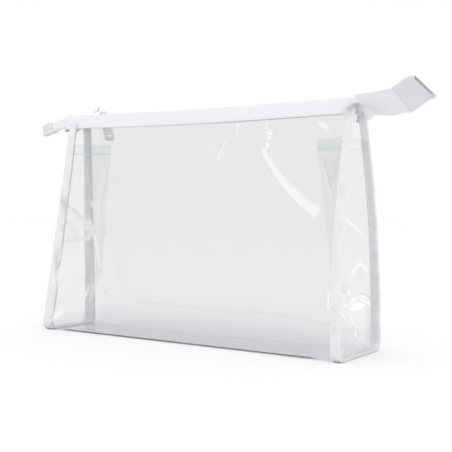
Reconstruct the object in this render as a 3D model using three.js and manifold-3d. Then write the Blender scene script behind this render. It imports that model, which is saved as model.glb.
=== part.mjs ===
// Clear zip pouch for make-up, in millimetres, +Z up.
// The origin is the centre of the base on the floor; +X runs along the zip, +Y to the back.
import * as THREE from 'three';
import { mergeVertices } from 'three/addons/utils/BufferGeometryUtils.js';
import Module from 'manifold-3d';

// Driving dimensions of the film body.
const bagWidth = 230; // side seam to side seam at the floor
const sideLean = 4; // how far each side seam leans in at the zip
const baseDepth = 60;
const mouthDepth = 16; // panel to panel at the foot of the zip tapes
const tapeFoot = 144; // height of the lower edge of the zip tapes
const filmTop = 148; // the film laps over the outside of the tapes
const filmThickness = 0.5;
const footRadius = 6; // how softly the panels turn under the bag
const gap = 0.3; // clearance between neighbouring pieces

// Side gussets: each folds inwards along its middle, deeper and deeper towards its top.
const pleatFoot = 11.5;
const pleatKnee = 45;
const kneeDepth = 12;
const pleatDepth = 21; // at the gusset's top
const gussetTop = 132;
const hemHeight = 7.5;
const hemThickness = 1;

// White binding round the side seams.
const bindingThickness = 1.2;
const bindingFoot = 5.5; // how far it stands out at the floor
const bindingHead = 3.8; // and at the zip

// Zip chain: two tapes that lean together and carry a coil each.
const chainLength = 226;
const coilLength = 218;
const stopPlace = 107; // from the middle to each stop
const stopWall = 0.5;
const stopWidth = 2.4;
const threadWidth = 0.4;
const threadHeight = 0.5;
const threadInset = 1.5; // from each side seam to the row's end
const tapeThickness = 0.6;
const chainGap = 0.6; // half the slit between the two halves
const tapeShoulder = 3.4; // half the flat width that the slider runs on
const shoulderHeight = 154.9;
const coilWidth = 1.7;
const coilHeight = 1.9;
const ridge = shoulderHeight + gap + coilHeight;

// Slider and its cranked pull.
const sliderLength = 10;
const sliderHalfWidth = 3.6;
const sliderWall = 0.9;
const sliderHome = -88.5; // closed: parked near the left end
const bridgeHeight = 2.6; // pivot bar above the top plate
const bridgeRadius = 0.6;
const eyeWall = 0.75;
const eyeWidth = 3;
const pullThickness = 1.2;
const pullWidth = 8.4;
const crankLength = 6.2;
const crankDrop = THREE.MathUtils.degToRad(14);
const pullDrop = THREE.MathUtils.degToRad(66);
const pullLength = 22;

// Tails of the zip beyond the side seams, with folded caps.
// The left one is folded up narrow and stands on edge; the right one lies open.
const tailRoot = 114.6; // where a tail bends
const capLength = 13;
const capThickness = 0.6;
const capRound = 1;
const capLip = 0.5; // the cap is wider than the tail by this on each side
const tails = {
  left: { side: -1, hinge: 152, length: 24.5, width: 6, thickness: 3, rise: -12.5, tilt: -90 },
  right: { side: 1, hinge: 154.6, length: 42.5, width: 30, thickness: 1, rise: 7, tilt: -17 },
};

const clearFilm = material(0xe9eaee, 0.15);
const whiteBinding = material(0xf3f2f6, 0.5);
const wovenTape = material(0xeeeef0, 0.9);
const nylonCoil = material(0xf4f4f5, 0.55);
const mouldedWhite = material(0xececee, 0.4);
const sewingThread = material(0xfafafa, 0.8);
const stopMetal = new THREE.MeshStandardMaterial({ color: 0xb9bbbe, roughness: 0.35, metalness: 1 });

const panelLean = (baseDepth - mouthDepth) / 2 / tapeFoot;
const leanScale = Math.hypot(1, panelLean);
const arcCentre = baseDepth / 2 - footRadius * (panelLean + leanScale);

const wasm = await Module();
wasm.setup();

function material(color, roughness) {
  return new THREE.MeshStandardMaterial({ color, roughness, metalness: 0 });
}

// Half the distance between the panels at height z, measured to a surface `inset` inside the film.
function halfDepth(z, inset = 0) {
  const r = footRadius - inset;
  const tangentHeight = footRadius + (r * panelLean) / leanScale;
  if (z >= tangentHeight) return baseDepth / 2 - panelLean * z - inset * leanScale;
  return arcCentre + Math.sqrt(Math.max(0, r * r - (footRadius - z) ** 2));
}

// Distance of a side seam from the middle at height z.
function halfWidth(z) {
  return bagWidth / 2 - (sideLean * z) / tapeFoot;
}

// Each vertex of a geometry is moved to where `place` puts it.
function warp(geometry, place) {
  const position = geometry.attributes.position;
  for (let i = 0; i < position.count; i++) {
    position.setXYZ(i, ...place(position.getX(i), position.getY(i), position.getZ(i)));
  }
  return geometry;
}

// Shared vertices are merged and the faces turned outwards.
function closed(geometry) {
  const bare = geometry.clone();
  bare.deleteAttribute('normal');
  bare.deleteAttribute('uv');
  const merged = mergeVertices(bare, 1e-4);
  if (signedVolume(merged) < 0) merged.index.array.reverse();
  merged.computeVertexNormals();
  return merged;
}

function signedVolume(geometry) {
  const index = geometry.index.array;
  const corner = (i) => new THREE.Vector3().fromBufferAttribute(geometry.attributes.position, index[i]);
  let volume = 0;
  for (let i = 0; i < index.length; i += 3) {
    volume += corner(i).dot(corner(i + 1).cross(corner(i + 2))) / 6;
  }
  return volume;
}

function solid(geometry) {
  const shell = closed(geometry);
  const mesh = new wasm.Mesh({
    numProp: 3,
    vertProperties: new Float32Array(shell.attributes.position.array),
    triVerts: new Uint32Array(shell.index.array),
  });
  return new wasm.Manifold(mesh);
}

function toGeometry(manifold) {
  const mesh = manifold.getMesh();
  const geometry = new THREE.BufferGeometry();
  geometry.setAttribute('position', new THREE.BufferAttribute(mesh.vertProperties, 3));
  geometry.setIndex(new THREE.BufferAttribute(mesh.triVerts, 1));
  return geometry;
}

function node(name, geometry, finish) {
  const mesh = new THREE.Mesh(closed(geometry), finish);
  mesh.name = name;
  return mesh;
}

// An outline in Y and Z, drawn out along X from `start` over `length`.
function alongX(outline, start, length, curveSegments = 8) {
  const geometry = new THREE.ExtrudeGeometry(outline, { depth: length, bevelEnabled: false, curveSegments });
  return warp(geometry, (y, z, x) => [start + x, y, z]);
}

function polygon(points) {
  return new THREE.Shape(points.map(([u, v]) => new THREE.Vector2(u, v)));
}

// The U of a wall that follows the panels and the base, between two insets from the film's face.
function wallOutline(outer, inner, top) {
  const lean = Math.atan(panelLean);
  const shape = new THREE.Shape();
  shape.moveTo(-halfDepth(top, outer), top);
  shape.absarc(-arcCentre, footRadius, footRadius - outer, Math.PI - lean, 1.5 * Math.PI, false);
  shape.absarc(arcCentre, footRadius, footRadius - outer, 1.5 * Math.PI, 2 * Math.PI + lean, false);
  shape.lineTo(halfDepth(top, outer), top);
  shape.lineTo(halfDepth(top, inner), top);
  shape.absarc(arcCentre, footRadius, footRadius - inner, 2 * Math.PI + lean, 1.5 * Math.PI, true);
  shape.absarc(-arcCentre, footRadius, footRadius - inner, 1.5 * Math.PI, Math.PI - lean, true);
  shape.lineTo(-halfDepth(top, inner), top);
  return shape;
}

// Front, base and back are one sheet of film that turns under the bag.
function bodyFilm() {
  const outline = wallOutline(0, filmThickness, filmTop);
  return warp(alongX(outline, -1, 2), (x, y, z) => [x * halfWidth(z), y, z]);
}

// A strip of vinyl folded over the raw edges of a side seam, down, under and up again.
function sideBinding(side) {
  const outline = wallOutline(0, bindingThickness, tapeFoot - 1);
  return warp(alongX(outline, 0, 1), (x, y, z) => {
    const reach = bindingFoot + ((bindingHead - bindingFoot) * z) / tapeFoot;
    return [side * (halfWidth(z) + gap + x * (reach - gap)), y, z];
  });
}

// How far the pleat is folded in at height z.
function pleat(z) {
  const { mapLinear, clamp } = THREE.MathUtils;
  if (z < pleatKnee) return kneeDepth * clamp(mapLinear(z, pleatFoot, pleatKnee, 0, 1), 0, 1);
  return mapLinear(z, pleatKnee, gussetTop, kneeDepth, pleatDepth);
}

// A closed sheet: the plane's surface, the same surface moved by `back`, and a rim between them.
function thicken(plane, back) {
  const columns = plane.parameters.widthSegments + 1;
  const rows = plane.parameters.heightSegments + 1;
  const count = columns * rows;
  const front = [...plane.attributes.position.array];
  const faces = [...plane.index.array];
  for (let i = 0; i < plane.index.count; i += 3) {
    faces.push(faces[i] + count, faces[i + 2] + count, faces[i + 1] + count);
  }
  const rim = [];
  for (let i = 0; i < columns - 1; i++) rim.push(i);
  for (let j = 0; j < rows - 1; j++) rim.push(columns - 1 + j * columns);
  for (let i = columns - 1; i > 0; i--) rim.push((rows - 1) * columns + i);
  for (let j = rows - 1; j > 0; j--) rim.push(j * columns);
  rim.forEach((a, k) => {
    const b = rim[(k + 1) % rim.length];
    faces.push(a, b, b + count, a, b + count, a + count);
  });
  const geometry = new THREE.BufferGeometry();
  geometry.setAttribute('position', new THREE.Float32BufferAttribute([...front, ...back], 3));
  geometry.setIndex(faces);
  return geometry;
}

// A sheet across one end of the bag, folded inwards along its middle, with a row of corners at each height.
function acrossEnd(side, heights, thickness) {
  const rows = heights.length - 1;
  const face = (depth) => warp(new THREE.PlaneGeometry(2, rows, 2, rows), (v, w) => {
    const z = heights[Math.round(w + rows / 2)];
    const half = halfDepth(z, filmThickness + gap);
    const through = depth * Math.hypot(1, pleat(z) / half);
    const fold = pleat(z) * (1 - Math.abs(v));
    return [side * (halfWidth(z) - gap - fold - through), v * half, z];
  });
  return thicken(face(0), face(thickness).attributes.position.array);
}

function gusset(side) {
  const foot = filmThickness + 2 * gap;
  const turn = [0.08, 0.25, 0.55].map((share) => THREE.MathUtils.lerp(foot, pleatFoot, share));
  const heights = [foot, ...turn, pleatFoot, pleatKnee, gussetTop - hemHeight - gap];
  return acrossEnd(side, heights, filmThickness);
}

function gussetHem(side) {
  return acrossEnd(side, [gussetTop - hemHeight, gussetTop], hemThickness);
}

// One woven tape: a flat shoulder beside the coil, then a slope down to its foot behind the film.
function zipTape(side) {
  const foot = halfDepth(tapeFoot, filmThickness + gap);
  const outline = polygon([
    [side * chainGap, shoulderHeight],
    [side * tapeShoulder, shoulderHeight],
    [side * foot, tapeFoot],
    [side * (foot - tapeThickness), tapeFoot],
    [side * (tapeShoulder - tapeThickness / 2), shoulderHeight - tapeThickness],
    [side * chainGap, shoulderHeight - tapeThickness],
  ]);
  return alongX(outline, -chainLength / 2, chainLength);
}

// The envelope of one half of the coil.
function zipCoil(side) {
  const coil = new THREE.BoxGeometry(coilLength, coilWidth, coilHeight);
  return coil.translate(0, side * (chainGap + coilWidth / 2), ridge - coilHeight / 2);
}

// A staple over both halves of the coil, where the slider's travel ends.
function zipStop(x) {
  const width = chainGap + coilWidth;
  const inner = width + gap;
  const outer = inner + stopWall;
  const outline = polygon([
    [-outer, shoulderHeight + gap],
    [-inner, shoulderHeight + gap],
    [-inner, ridge + gap],
    [inner, ridge + gap],
    [inner, shoulderHeight + gap],
    [outer, shoulderHeight + gap],
    [outer, ridge + gap + stopWall],
    [-outer, ridge + gap + stopWall],
  ]);
  return alongX(outline, x - stopWidth / 2, stopWidth);
}

// A row of lock stitches through film and tape, as one straight thread.
function zipStitch(side) {
  const z = (tapeFoot + filmTop) / 2;
  const length = 2 * (halfWidth(z) - threadInset);
  const thread = new THREE.BoxGeometry(length, threadWidth, threadHeight);
  return thread.translate(0, side * (halfDepth(z) + gap + threadWidth / 2), z);
}

// Two plates joined by a web, with the sides of the top plate turned down, and the pull's bridge.
function sliderBody() {
  const topPlate = ridge + gap;
  const bottomPlate = shoulderHeight - tapeThickness - 2 * gap;
  const web = chainGap - gap;
  const inside = sliderHalfWidth - sliderWall / 2;
  const bottomHalf = tapeShoulder - 2 * gap;
  const right = [
    [bottomHalf, bottomPlate - sliderWall],
    [bottomHalf, bottomPlate],
    [web, bottomPlate],
    [web, topPlate],
    [inside, topPlate],
    [inside, shoulderHeight + 2 * gap],
    [sliderHalfWidth, shoulderHeight + 2 * gap],
    [sliderHalfWidth, topPlate + sliderWall],
  ];
  const left = right.map(([y, z]) => [-y, z]).reverse();
  const channel = alongX(polygon([...right, ...left]), -sliderLength / 2, sliderLength);
  return toGeometry(solid(channel).add(solid(sliderBridge(topPlate + sliderWall))));
}

// The arch over the slider: two posts and the bar that the pull turns on.
function sliderBridge(plate) {
  const half = eyeWidth / 2 + gap + 1;
  const bar = bridgeHeight + bridgeRadius;
  const outline = polygon([
    [-half, -sliderWall / 2],
    [-half, bar],
    [half, bar],
    [half, -sliderWall / 2],
    [half - 1, -sliderWall / 2],
    [half - 1, bar - 2 * bridgeRadius],
    [1 - half, bar - 2 * bridgeRadius],
    [1 - half, -sliderWall / 2],
  ]);
  const depth = 2 * bridgeRadius;
  const arch = new THREE.ExtrudeGeometry(outline, { depth, bevelEnabled: false });
  return warp(arch, (x, z, y) => [x, y - bridgeRadius, plate + z]);
}

// Eye round the bridge's bar, a crank out past the slider, then the grip that hangs at the back.
function pull() {
  const hole = bridgeRadius * Math.SQRT2 + gap;
  const eyeOutline = new THREE.Shape().absarc(0, 0, hole + eyeWall, 0, 2 * Math.PI);
  eyeOutline.holes.push(new THREE.Path().absarc(0, 0, hole, 0, 2 * Math.PI, true));
  const eye = alongX(eyeOutline, -eyeWidth / 2, eyeWidth, 12);
  const reach = crankLength + pullThickness / 2;
  const start = hole + eyeWall / 2;
  const crank = new THREE.BoxGeometry(eyeWidth, reach - start, pullThickness);
  crank.translate(0, (start + reach) / 2, 0).rotateX(-crankDrop);
  const grip = gripPlate();
  grip.rotateX(Math.PI / 2 - pullDrop).translate(
    0, crankLength * Math.cos(crankDrop), -crankLength * Math.sin(crankDrop));
  return toGeometry(solid(eye).add(solid(crank)).add(solid(grip)));
}

// The grip hangs down from its upper edge and has a slot near its rounded end.
function gripPlate() {
  const half = pullWidth / 2;
  const round = 2.2;
  const slotHalf = 2.9;
  const slotHeight = 1.2;
  const slotFoot = 3.4 - pullLength;
  const outline = new THREE.Shape();
  outline.moveTo(half, pullThickness / 2);
  outline.lineTo(-half, pullThickness / 2);
  outline.absarc(round - half, round - pullLength, round, Math.PI, 1.5 * Math.PI, false);
  outline.absarc(half - round, round - pullLength, round, 1.5 * Math.PI, 2 * Math.PI, false);
  const slot = polygon([
    [-slotHalf, slotFoot],
    [-slotHalf, slotFoot + slotHeight],
    [slotHalf, slotFoot + slotHeight],
    [slotHalf, slotFoot],
  ]);
  outline.holes.push(slot);
  const depth = pullThickness;
  const plate = new THREE.ExtrudeGeometry(outline, { depth, bevelEnabled: false, curveSegments: 5 });
  return warp(plate, (x, z, y) => [x, y - pullThickness / 2, z]);
}

// The two tapes run on together past the side seam; the tail starts just beyond its bend.
function tailTape(tail) {
  const start = 2 * gap;
  const plate = new THREE.BoxGeometry(tail.length - start, tail.width, tail.thickness);
  return plate.translate((tail.side * (tail.length + start)) / 2, 0, 0);
}

// A strip folded over the end of a tail.
function tailCap(tail) {
  const inner = tail.thickness / 2 + gap;
  const outer = inner + capThickness;
  const end = tail.length + gap;
  const root = tail.length - capLength;
  const outline = new THREE.Shape();
  outline.moveTo(root, outer);
  outline.lineTo(root, inner);
  outline.lineTo(end, inner);
  outline.lineTo(end, -inner);
  outline.lineTo(root, -inner);
  outline.lineTo(root, -outer);
  const roundX = end + capThickness - capRound;
  outline.absarc(roundX, capRound - outer, capRound, 1.5 * Math.PI, 2 * Math.PI, false);
  outline.absarc(roundX, outer - capRound, capRound, 0, 0.5 * Math.PI, false);
  const depth = tail.width + 2 * capLip;
  const cap = new THREE.ExtrudeGeometry(outline, { depth, bevelEnabled: false, curveSegments: 4 });
  return warp(cap, (x, z, y) => [tail.side * x, y - depth / 2, z]);
}

function tailGroup(name) {
  const tail = tails[name];
  const group = new THREE.Group();
  group.position.set(tail.side * tailRoot, 0, tail.hinge);
  group.rotation.order = 'ZYX';
  group.rotation.y = -tail.side * THREE.MathUtils.degToRad(tail.rise);
  group.rotation.x = THREE.MathUtils.degToRad(tail.tilt);
  group.add(node(`zip_tail_${name}`, tailTape(tail), wovenTape));
  group.add(node(`tail_cap_${name}`, tailCap(tail), whiteBinding));
  return group;
}

function sliderGroup() {
  const group = new THREE.Group();
  group.position.x = sliderHome;
  group.add(node('slider_body', sliderBody(), mouldedWhite));
  const pullMesh = node('pull_tab', pull(), mouldedWhite);
  pullMesh.position.z = ridge + gap + sliderWall + bridgeHeight;
  group.add(pullMesh);
  return group;
}

const pouch = new THREE.Group();
pouch.add(node('body_film', bodyFilm(), clearFilm));
for (const [name, side] of [['left', -1], ['right', 1]]) {
  pouch.add(node(`gusset_${name}`, gusset(side), clearFilm));
  pouch.add(node(`gusset_hem_${name}`, gussetHem(side), whiteBinding));
  pouch.add(node(`side_binding_${name}`, sideBinding(side), whiteBinding));
  pouch.add(node(`zip_stop_${name}`, zipStop(side * stopPlace), stopMetal));
  pouch.add(tailGroup(name));
}
for (const [name, side] of [['front', -1], ['back', 1]]) {
  pouch.add(node(`zip_tape_${name}`, zipTape(side), wovenTape));
  pouch.add(node(`zip_coil_${name}`, zipCoil(side), nylonCoil));
  pouch.add(node(`zip_stitch_${name}`, zipStitch(side), sewingThread));
}
pouch.add(sliderGroup());

export default pouch;
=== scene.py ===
from math import atan2, cos, exp, hypot, pi, radians, sin, sqrt, tan
import bmesh
import bpy
from mathutils import Matrix, Vector, noise


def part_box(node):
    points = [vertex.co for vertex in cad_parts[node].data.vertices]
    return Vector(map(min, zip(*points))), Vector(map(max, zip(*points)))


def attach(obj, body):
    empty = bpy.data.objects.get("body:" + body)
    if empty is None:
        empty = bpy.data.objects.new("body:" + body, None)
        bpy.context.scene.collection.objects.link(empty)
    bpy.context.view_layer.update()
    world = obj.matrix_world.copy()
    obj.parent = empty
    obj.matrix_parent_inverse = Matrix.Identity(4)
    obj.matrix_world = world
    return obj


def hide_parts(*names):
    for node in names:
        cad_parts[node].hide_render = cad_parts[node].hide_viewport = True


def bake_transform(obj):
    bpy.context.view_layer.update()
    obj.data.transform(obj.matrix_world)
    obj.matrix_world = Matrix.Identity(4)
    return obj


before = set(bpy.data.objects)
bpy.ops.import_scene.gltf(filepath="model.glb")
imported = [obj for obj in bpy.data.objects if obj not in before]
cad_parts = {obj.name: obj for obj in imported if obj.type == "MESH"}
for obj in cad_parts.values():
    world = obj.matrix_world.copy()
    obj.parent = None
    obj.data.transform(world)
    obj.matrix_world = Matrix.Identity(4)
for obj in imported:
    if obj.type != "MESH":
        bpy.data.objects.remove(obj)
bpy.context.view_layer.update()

scene = bpy.context.scene
mm = 0.001


def nodeBox(name):                      # a CAD node's lowest and highest corners, in millimetres
    low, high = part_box(name)
    return Vector(low) / mm, Vector(high) / mm


# Lengths are in millimetres. What model.glb holds is read from it.
filmHigh = nodeBox("body_film")[1]
tapeLow, tapeHigh = nodeBox("zip_tape_front")
pouch = {
    "halfLength": filmHigh.x,           # middle to side seam, along the floor
    "baseHalf": 30.0,                   # half the base's depth at the right end
    "leftPinch": 6.5,                   # the left end is squeezed by this much on each side
    "mouthHalf": 8.0,                   # half the gap between the panels at the tapes' feet
    "tapeFoot": tapeLow.z,
    "filmTop": filmHigh.z,
    "footRadius": 5.0,
    "leanLeft": 11.0,                   # how far each side seam leans in at the tapes' feet
    "leanRight": 1.0,
    "film": 0.5,
    "sag": 1.1,                         # the ridge hangs by this in the middle
    "sagFrom": 100.0,                   # and the panels begin to follow it at this height
    "bulge": 7.2,                       # the right end stands open, bowed out by this, halfway up
    "bulgeTop": 156.0,
    "bulgeFrom": 0.62,                  # the bow grows from this share of the length to the right seam
    "bulgeFade": (136.0, 150.0),        # and is gone again between these heights, under the zip
    "wallEnd": 0.74,                    # the shares of half the girth at which the wall ends
    "arcEnd": 0.84,                     # and the base begins
}


def smoothStep(low, high, value):
    t = min(1.0, max(0.0, (value - low) / (high - low)))
    return t * t * (3 - 2 * t)


def mix(a, b, t):
    return a + (b - a) * t


def along(stations, at):                # a smooth curve through (place, value) pairs
    for (a, low), (b, high) in zip(stations, stations[1:]):
        if at <= b:
            return mix(low, high, smoothStep(a, b, at))
    return stations[-1][1]


def fromCrease(crease, a, b):           # how far along a crease a point lies, 0 to 1, and how far off it
    (a0, b0), (a1, b1) = crease["start"], crease["end"]
    da, db = a1 - a0, b1 - b0
    length = hypot(da, db)
    t = ((a - a0) * da + (b - b0) * db) / length ** 2
    off = ((a - a0) * db - (b - b0) * da) / length - crease.get("bow", 0.0) * 4 * t * (1 - t)
    return t, off, length


def creaseLift(creases, a, b):          # what a list of ridges adds at a point of a sheet
    lift = 0.0
    for crease in creases:
        t, off, length = fromCrease(crease, a, b)
        if -0.5 < t < 1.5 and abs(off) < 3.5 * crease["width"]:
            ends = smoothStep(-0.35, 0.25, t) * (1 - smoothStep(0.75, 1.35, t))
            lift += crease["height"] * ends * exp(-(off / crease["width"]) ** 2)
    return lift


def paintedGlintAt(bands, a, b):               # painted highlights: how white the film shines along its sharp creases, 0 to 1
    white = 0.0
    for band in bands:
        t, off, length = fromCrease(band, a, b)
        half = mix(*band["half"], min(1.0, max(0.0, t)))
        soft = 1.0 / length
        ends = smoothStep(-soft, soft, t) * (1 - smoothStep(1 - soft, 1 + soft, t))
        white = max(white, band["white"] * ends * (1 - smoothStep(0.55, 1.1, abs(off) / half)))
    return white


def ripple(a, b, size, seed):           # slow waves, between -1 and 1
    return noise.noise(Vector((a / size, b / size, seed)))


def sheetGrid(columns, rows, place, flat):     # a grid laid out by place(column share, row share)
    bm = bmesh.new()
    bmesh.ops.create_grid(bm, x_segments=columns, y_segments=rows, size=1)
    cloth = bm.loops.layers.uv.new("cloth")     # the flat cut, in metres
    for vert in bm.verts:
        u, v = (vert.co.x + 1) / 2, (vert.co.y + 1) / 2
        for loop in vert.link_loops:
            loop[cloth].uv = (u * flat[0], v * flat[1])
        vert.co = Vector(place(u, v)) * mm
    return bm


def paintVerts(bm, name, value):        # a float on each vertex, from value(vertex place in millimetres)
    layer = bm.verts.layers.float.new(name)
    for vert in bm.verts:
        vert[layer] = value(vert.co / mm)


def turnOut(bm, outward):               # an open sheet's faces look the way outward(point) says
    bm.normal_update()
    total = sum(face.normal.dot(Vector(outward(face.calc_center_median() / mm))) for face in bm.faces)
    if total < 0:
        bmesh.ops.reverse_faces(bm, faces=bm.faces[:])


def toPiece(bm, name, material, body="pouch", nodes=(), thickness=0.0):
    mesh = bpy.data.meshes.new(name)
    bm.to_mesh(mesh)
    bm.free()
    mesh.materials.append(material)
    mesh.polygons.foreach_set("use_smooth", [True] * len(mesh.polygons))
    piece = bpy.data.objects.new(name, mesh)
    scene.collection.objects.link(piece)
    if thickness:
        solidify = piece.modifiers.new("Solidify", "SOLIDIFY")
        solidify.thickness = thickness * mm
        solidify.offset = 0
    if body:
        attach(piece, body)
    if nodes:
        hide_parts(*nodes)
    return piece


def stitchRow(bm, places, size):        # a sewn stitch, size long and thick, at each (middle, direction)
    length, thick = size
    for middle, direction in places:
        turn = Vector(direction).to_track_quat("Z", "Y").to_matrix().to_4x4()
        shape = Matrix.Diagonal(Vector((thick, thick, length, 1)) * mm / 2)
        shape[3][3] = 1
        bmesh.ops.create_uvsphere(bm, u_segments=6, v_segments=5, radius=1,
                                  matrix=Matrix.Translation(Vector(middle) * mm) @ turn @ shape)


def toLinear(hexCode):                  # an sRGB hex colour as linear RGBA
    channels = [int(hexCode[i:i + 2], 16) / 255 for i in (1, 3, 5)]
    return [c / 12.92 if c <= 0.04045 else ((c + 0.055) / 1.055) ** 2.4 for c in channels] + [1.0]


def addNode(tree, kind, inputs=None, **settings):
    node = tree.nodes.new("ShaderNode" + kind)
    for name, value in settings.items():
        setattr(node, name, value)
    for name, value in (inputs or {}).items():
        if isinstance(value, bpy.types.NodeSocket):
            tree.links.new(value, node.inputs[name])
        else:
            node.inputs[name].default_value = value
    return node


def newMaterial(name):
    material = bpy.data.materials.new(name)
    material.use_nodes = True
    material.node_tree.nodes.clear()
    return material, material.node_tree


filmLook = {
    "tint": "#F9F9F9",                  # what one face of the film lets through
    "foot": "#F2F3F5",                  # painted shade: a darker tint near the floor, for the shadow under the base
    "crease": "#0D0E0F",                # painted contact shadow: near black along the front's foot, where the panel meets the floor
    "shadeTint": "#FAFAFB",             # what one face lets through to light the floor and the inside
    "haze": 0.015,                      # plasticised vinyl is faintly milky
    "hazeColour": "#F6F6F8",
    "roughness": 0.04,
    "mirror": 0.04,                     # what each face mirrors head on, the same from inside and outside
    "grazing": 0.96,                    # what is added to that at a grazing look
    "paintedShadeDull": 0.85,                # the share of its gloss lost under the painted shade, so that the painted contact shadow stays dark
    "paintedGlint": 0.85,                      # painted highlight: what the marked creases mirror more, so that they shine white
    "waveSize": 30.0,                   # slow waves left by the calender rolls
    "waveHeight": 0.10,
}


def clearVinyl(name, look):             # soft clear PVC, calendered: sharp gloss over slow waves
    material, tree = newMaterial(name)
    coords = addNode(tree, "TexCoord")
    waves = addNode(tree, "TexNoise", {"Vector": coords.outputs["Object"], "Scale": 1000 / look["waveSize"],
                                       "Detail": 1.0, "Roughness": 0.4})
    bump = addNode(tree, "Bump", {"Height": waves.outputs[0], "Distance": look["waveHeight"] * mm})
    # painted shade: camera rays see the film darker at the foot and near black in the painted contact shadow,
    # while light passing through sees shadeTint
    paintedShade = addNode(tree, "Attribute", attribute_name="paintedShade")
    ramp = addNode(tree, "ValToRGB", {"Fac": paintedShade.outputs["Fac"]})
    ramp.color_ramp.elements[0].color = toLinear(look["tint"])
    ramp.color_ramp.elements[1].color = toLinear(look["crease"])
    ramp.color_ramp.elements.new(0.5).color = toLinear(look["foot"])
    rays = addNode(tree, "LightPath")
    lighting = addNode(tree, "Math", {0: rays.outputs["Is Shadow Ray"], 1: rays.outputs["Is Diffuse Ray"]},
                       operation="MAXIMUM")
    see = addNode(tree, "Mix", {"Factor": lighting.outputs[0], "A": ramp.outputs["Color"],
                                "B": toLinear(look["shadeTint"])}, data_type="RGBA")
    clear = addNode(tree, "BsdfTransparent", {"Color": see.outputs["Result"]})
    milky = addNode(tree, "BsdfTranslucent", {"Color": toLinear(look["hazeColour"])})
    body = addNode(tree, "MixShader", {0: look["haze"], 1: clear.outputs[0], 2: milky.outputs[0]})
    gloss = addNode(tree, "BsdfGlossy", {"Color": (1, 1, 1, 1), "Roughness": look["roughness"],
                                         "Normal": bump.outputs[0]})
    facing = addNode(tree, "LayerWeight", {"Blend": 0.5, "Normal": bump.outputs[0]})
    steep = addNode(tree, "Math", {0: facing.outputs["Facing"], 1: 5.0}, operation="POWER")
    mirror = addNode(tree, "Math", {0: steep.outputs[0], 1: look["grazing"], 2: look["mirror"]},
                     operation="MULTIPLY_ADD")
    dull = addNode(tree, "Math", {0: paintedShade.outputs["Fac"], 1: -look["paintedShadeDull"], 2: 1.0},
                   operation="MULTIPLY_ADD")
    edge = addNode(tree, "Math", {0: mirror.outputs[0], 1: dull.outputs[0]}, operation="MULTIPLY")
    paintedGlint = addNode(tree, "Attribute", attribute_name="paintedGlint")
    shine = addNode(tree, "Math", {0: paintedGlint.outputs["Fac"], 1: look["paintedGlint"], 2: edge.outputs[0]},
                    operation="MULTIPLY_ADD", use_clamp=True)
    film = addNode(tree, "MixShader", {0: shine.outputs[0], 1: body.outputs[0], 2: gloss.outputs[0]})
    addNode(tree, "OutputMaterial", {"Surface": film.outputs[0]})
    return material


milkyLook = {
    "colour": "#FAFAFC",
    "clear": 0.35,                      # the share that shows what lies behind
    "tint": "#FBFBFC",
    "roughness": 0.32,
    "grain": 0.7,                       # embossed grain spacing
    "grainHeight": 0.02,
    "cloud": 50 / 3,                    # faint clouds in the white, three to 50 mm
    "cloudy": 0.2,                      # which change its clearness by this share
}


def milkyVinyl(name, look):             # white-tinted PVC strip, embossed: satin, lets a little through
    material, tree = newMaterial(name)
    coords = addNode(tree, "TexCoord")
    grain = addNode(tree, "TexVoronoi", {"Vector": coords.outputs["Object"],
                                         "Scale": 1000 / look["grain"]})
    bump = addNode(tree, "Bump", {"Height": grain.outputs["Distance"],
                                  "Distance": look["grainHeight"] * mm})
    cloud = addNode(tree, "TexNoise", {"Vector": coords.outputs["Object"], "Scale": 1000 / look["cloud"],
                                       "Detail": 2.0})
    body = addNode(tree, "MapRange", {"Value": cloud.outputs[0], "From Min": 0.3, "From Max": 0.7,
                                      "To Min": look["clear"] * (1 - look["cloudy"]),
                                      "To Max": look["clear"] * (1 + look["cloudy"])})
    solid = addNode(tree, "BsdfPrincipled", {"Base Color": toLinear(look["colour"]), "IOR": 1.5,
                                             "Roughness": look["roughness"], "Normal": bump.outputs[0]})
    clear = addNode(tree, "BsdfTransparent", {"Color": toLinear(look["tint"])})
    both = addNode(tree, "MixShader", {0: body.outputs[0], 1: solid.outputs[0], 2: clear.outputs[0]})
    addNode(tree, "OutputMaterial", {"Surface": both.outputs[0]})
    return material


weaveLook = {
    "colour": "#F0EFF5",
    "ribHollowShade": "#E3E2E9",
    "rib": 1.3,                         # herringbone ribs, twice as coarse as woven so that they show
    "ribHeight": 0.10,
    "zigzag": 4.0,                      # the ribs turn back this far across the tape
    "roughness": 0.85,
}


def wovenPolyester(name, look):         # filament polyester tape, woven in herringbone: matt, fine ribs
    material, tree = newMaterial(name)
    cloth = addNode(tree, "UVMap", uv_map="cloth")
    place = addNode(tree, "SeparateXYZ", {0: cloth.outputs[0]})
    zig = addNode(tree, "Math", {0: place.outputs["Y"], 1: look["zigzag"] * mm}, operation="PINGPONG")
    slant = addNode(tree, "Math", {0: place.outputs["X"], 1: zig.outputs[0]}, operation="ADD")
    turns = addNode(tree, "Math", {0: slant.outputs[0], 1: 2 * pi / (look["rib"] * mm)},
                    operation="MULTIPLY")
    rib = addNode(tree, "Math", {0: turns.outputs[0]}, operation="SINE")
    high = addNode(tree, "MapRange", {"Value": rib.outputs[0], "From Min": -1.0, "From Max": 1.0})
    bump = addNode(tree, "Bump", {"Height": high.outputs[0], "Distance": look["ribHeight"] * mm})
    # painted shade: the tape is darker in the rib hollows, lighter on the crests
    colour = addNode(tree, "Mix", {"Factor": high.outputs[0], "A": toLinear(look["ribHollowShade"]),
                                   "B": toLinear(look["colour"])}, data_type="RGBA")
    fibre = addNode(tree, "BsdfPrincipled", {"Base Color": colour.outputs["Result"], "IOR": 1.55,
                                             "Roughness": look["roughness"], "Sheen Weight": 0.15,
                                             "Normal": bump.outputs[0]})
    addNode(tree, "OutputMaterial", {"Surface": fibre.outputs[0]})
    return material


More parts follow.
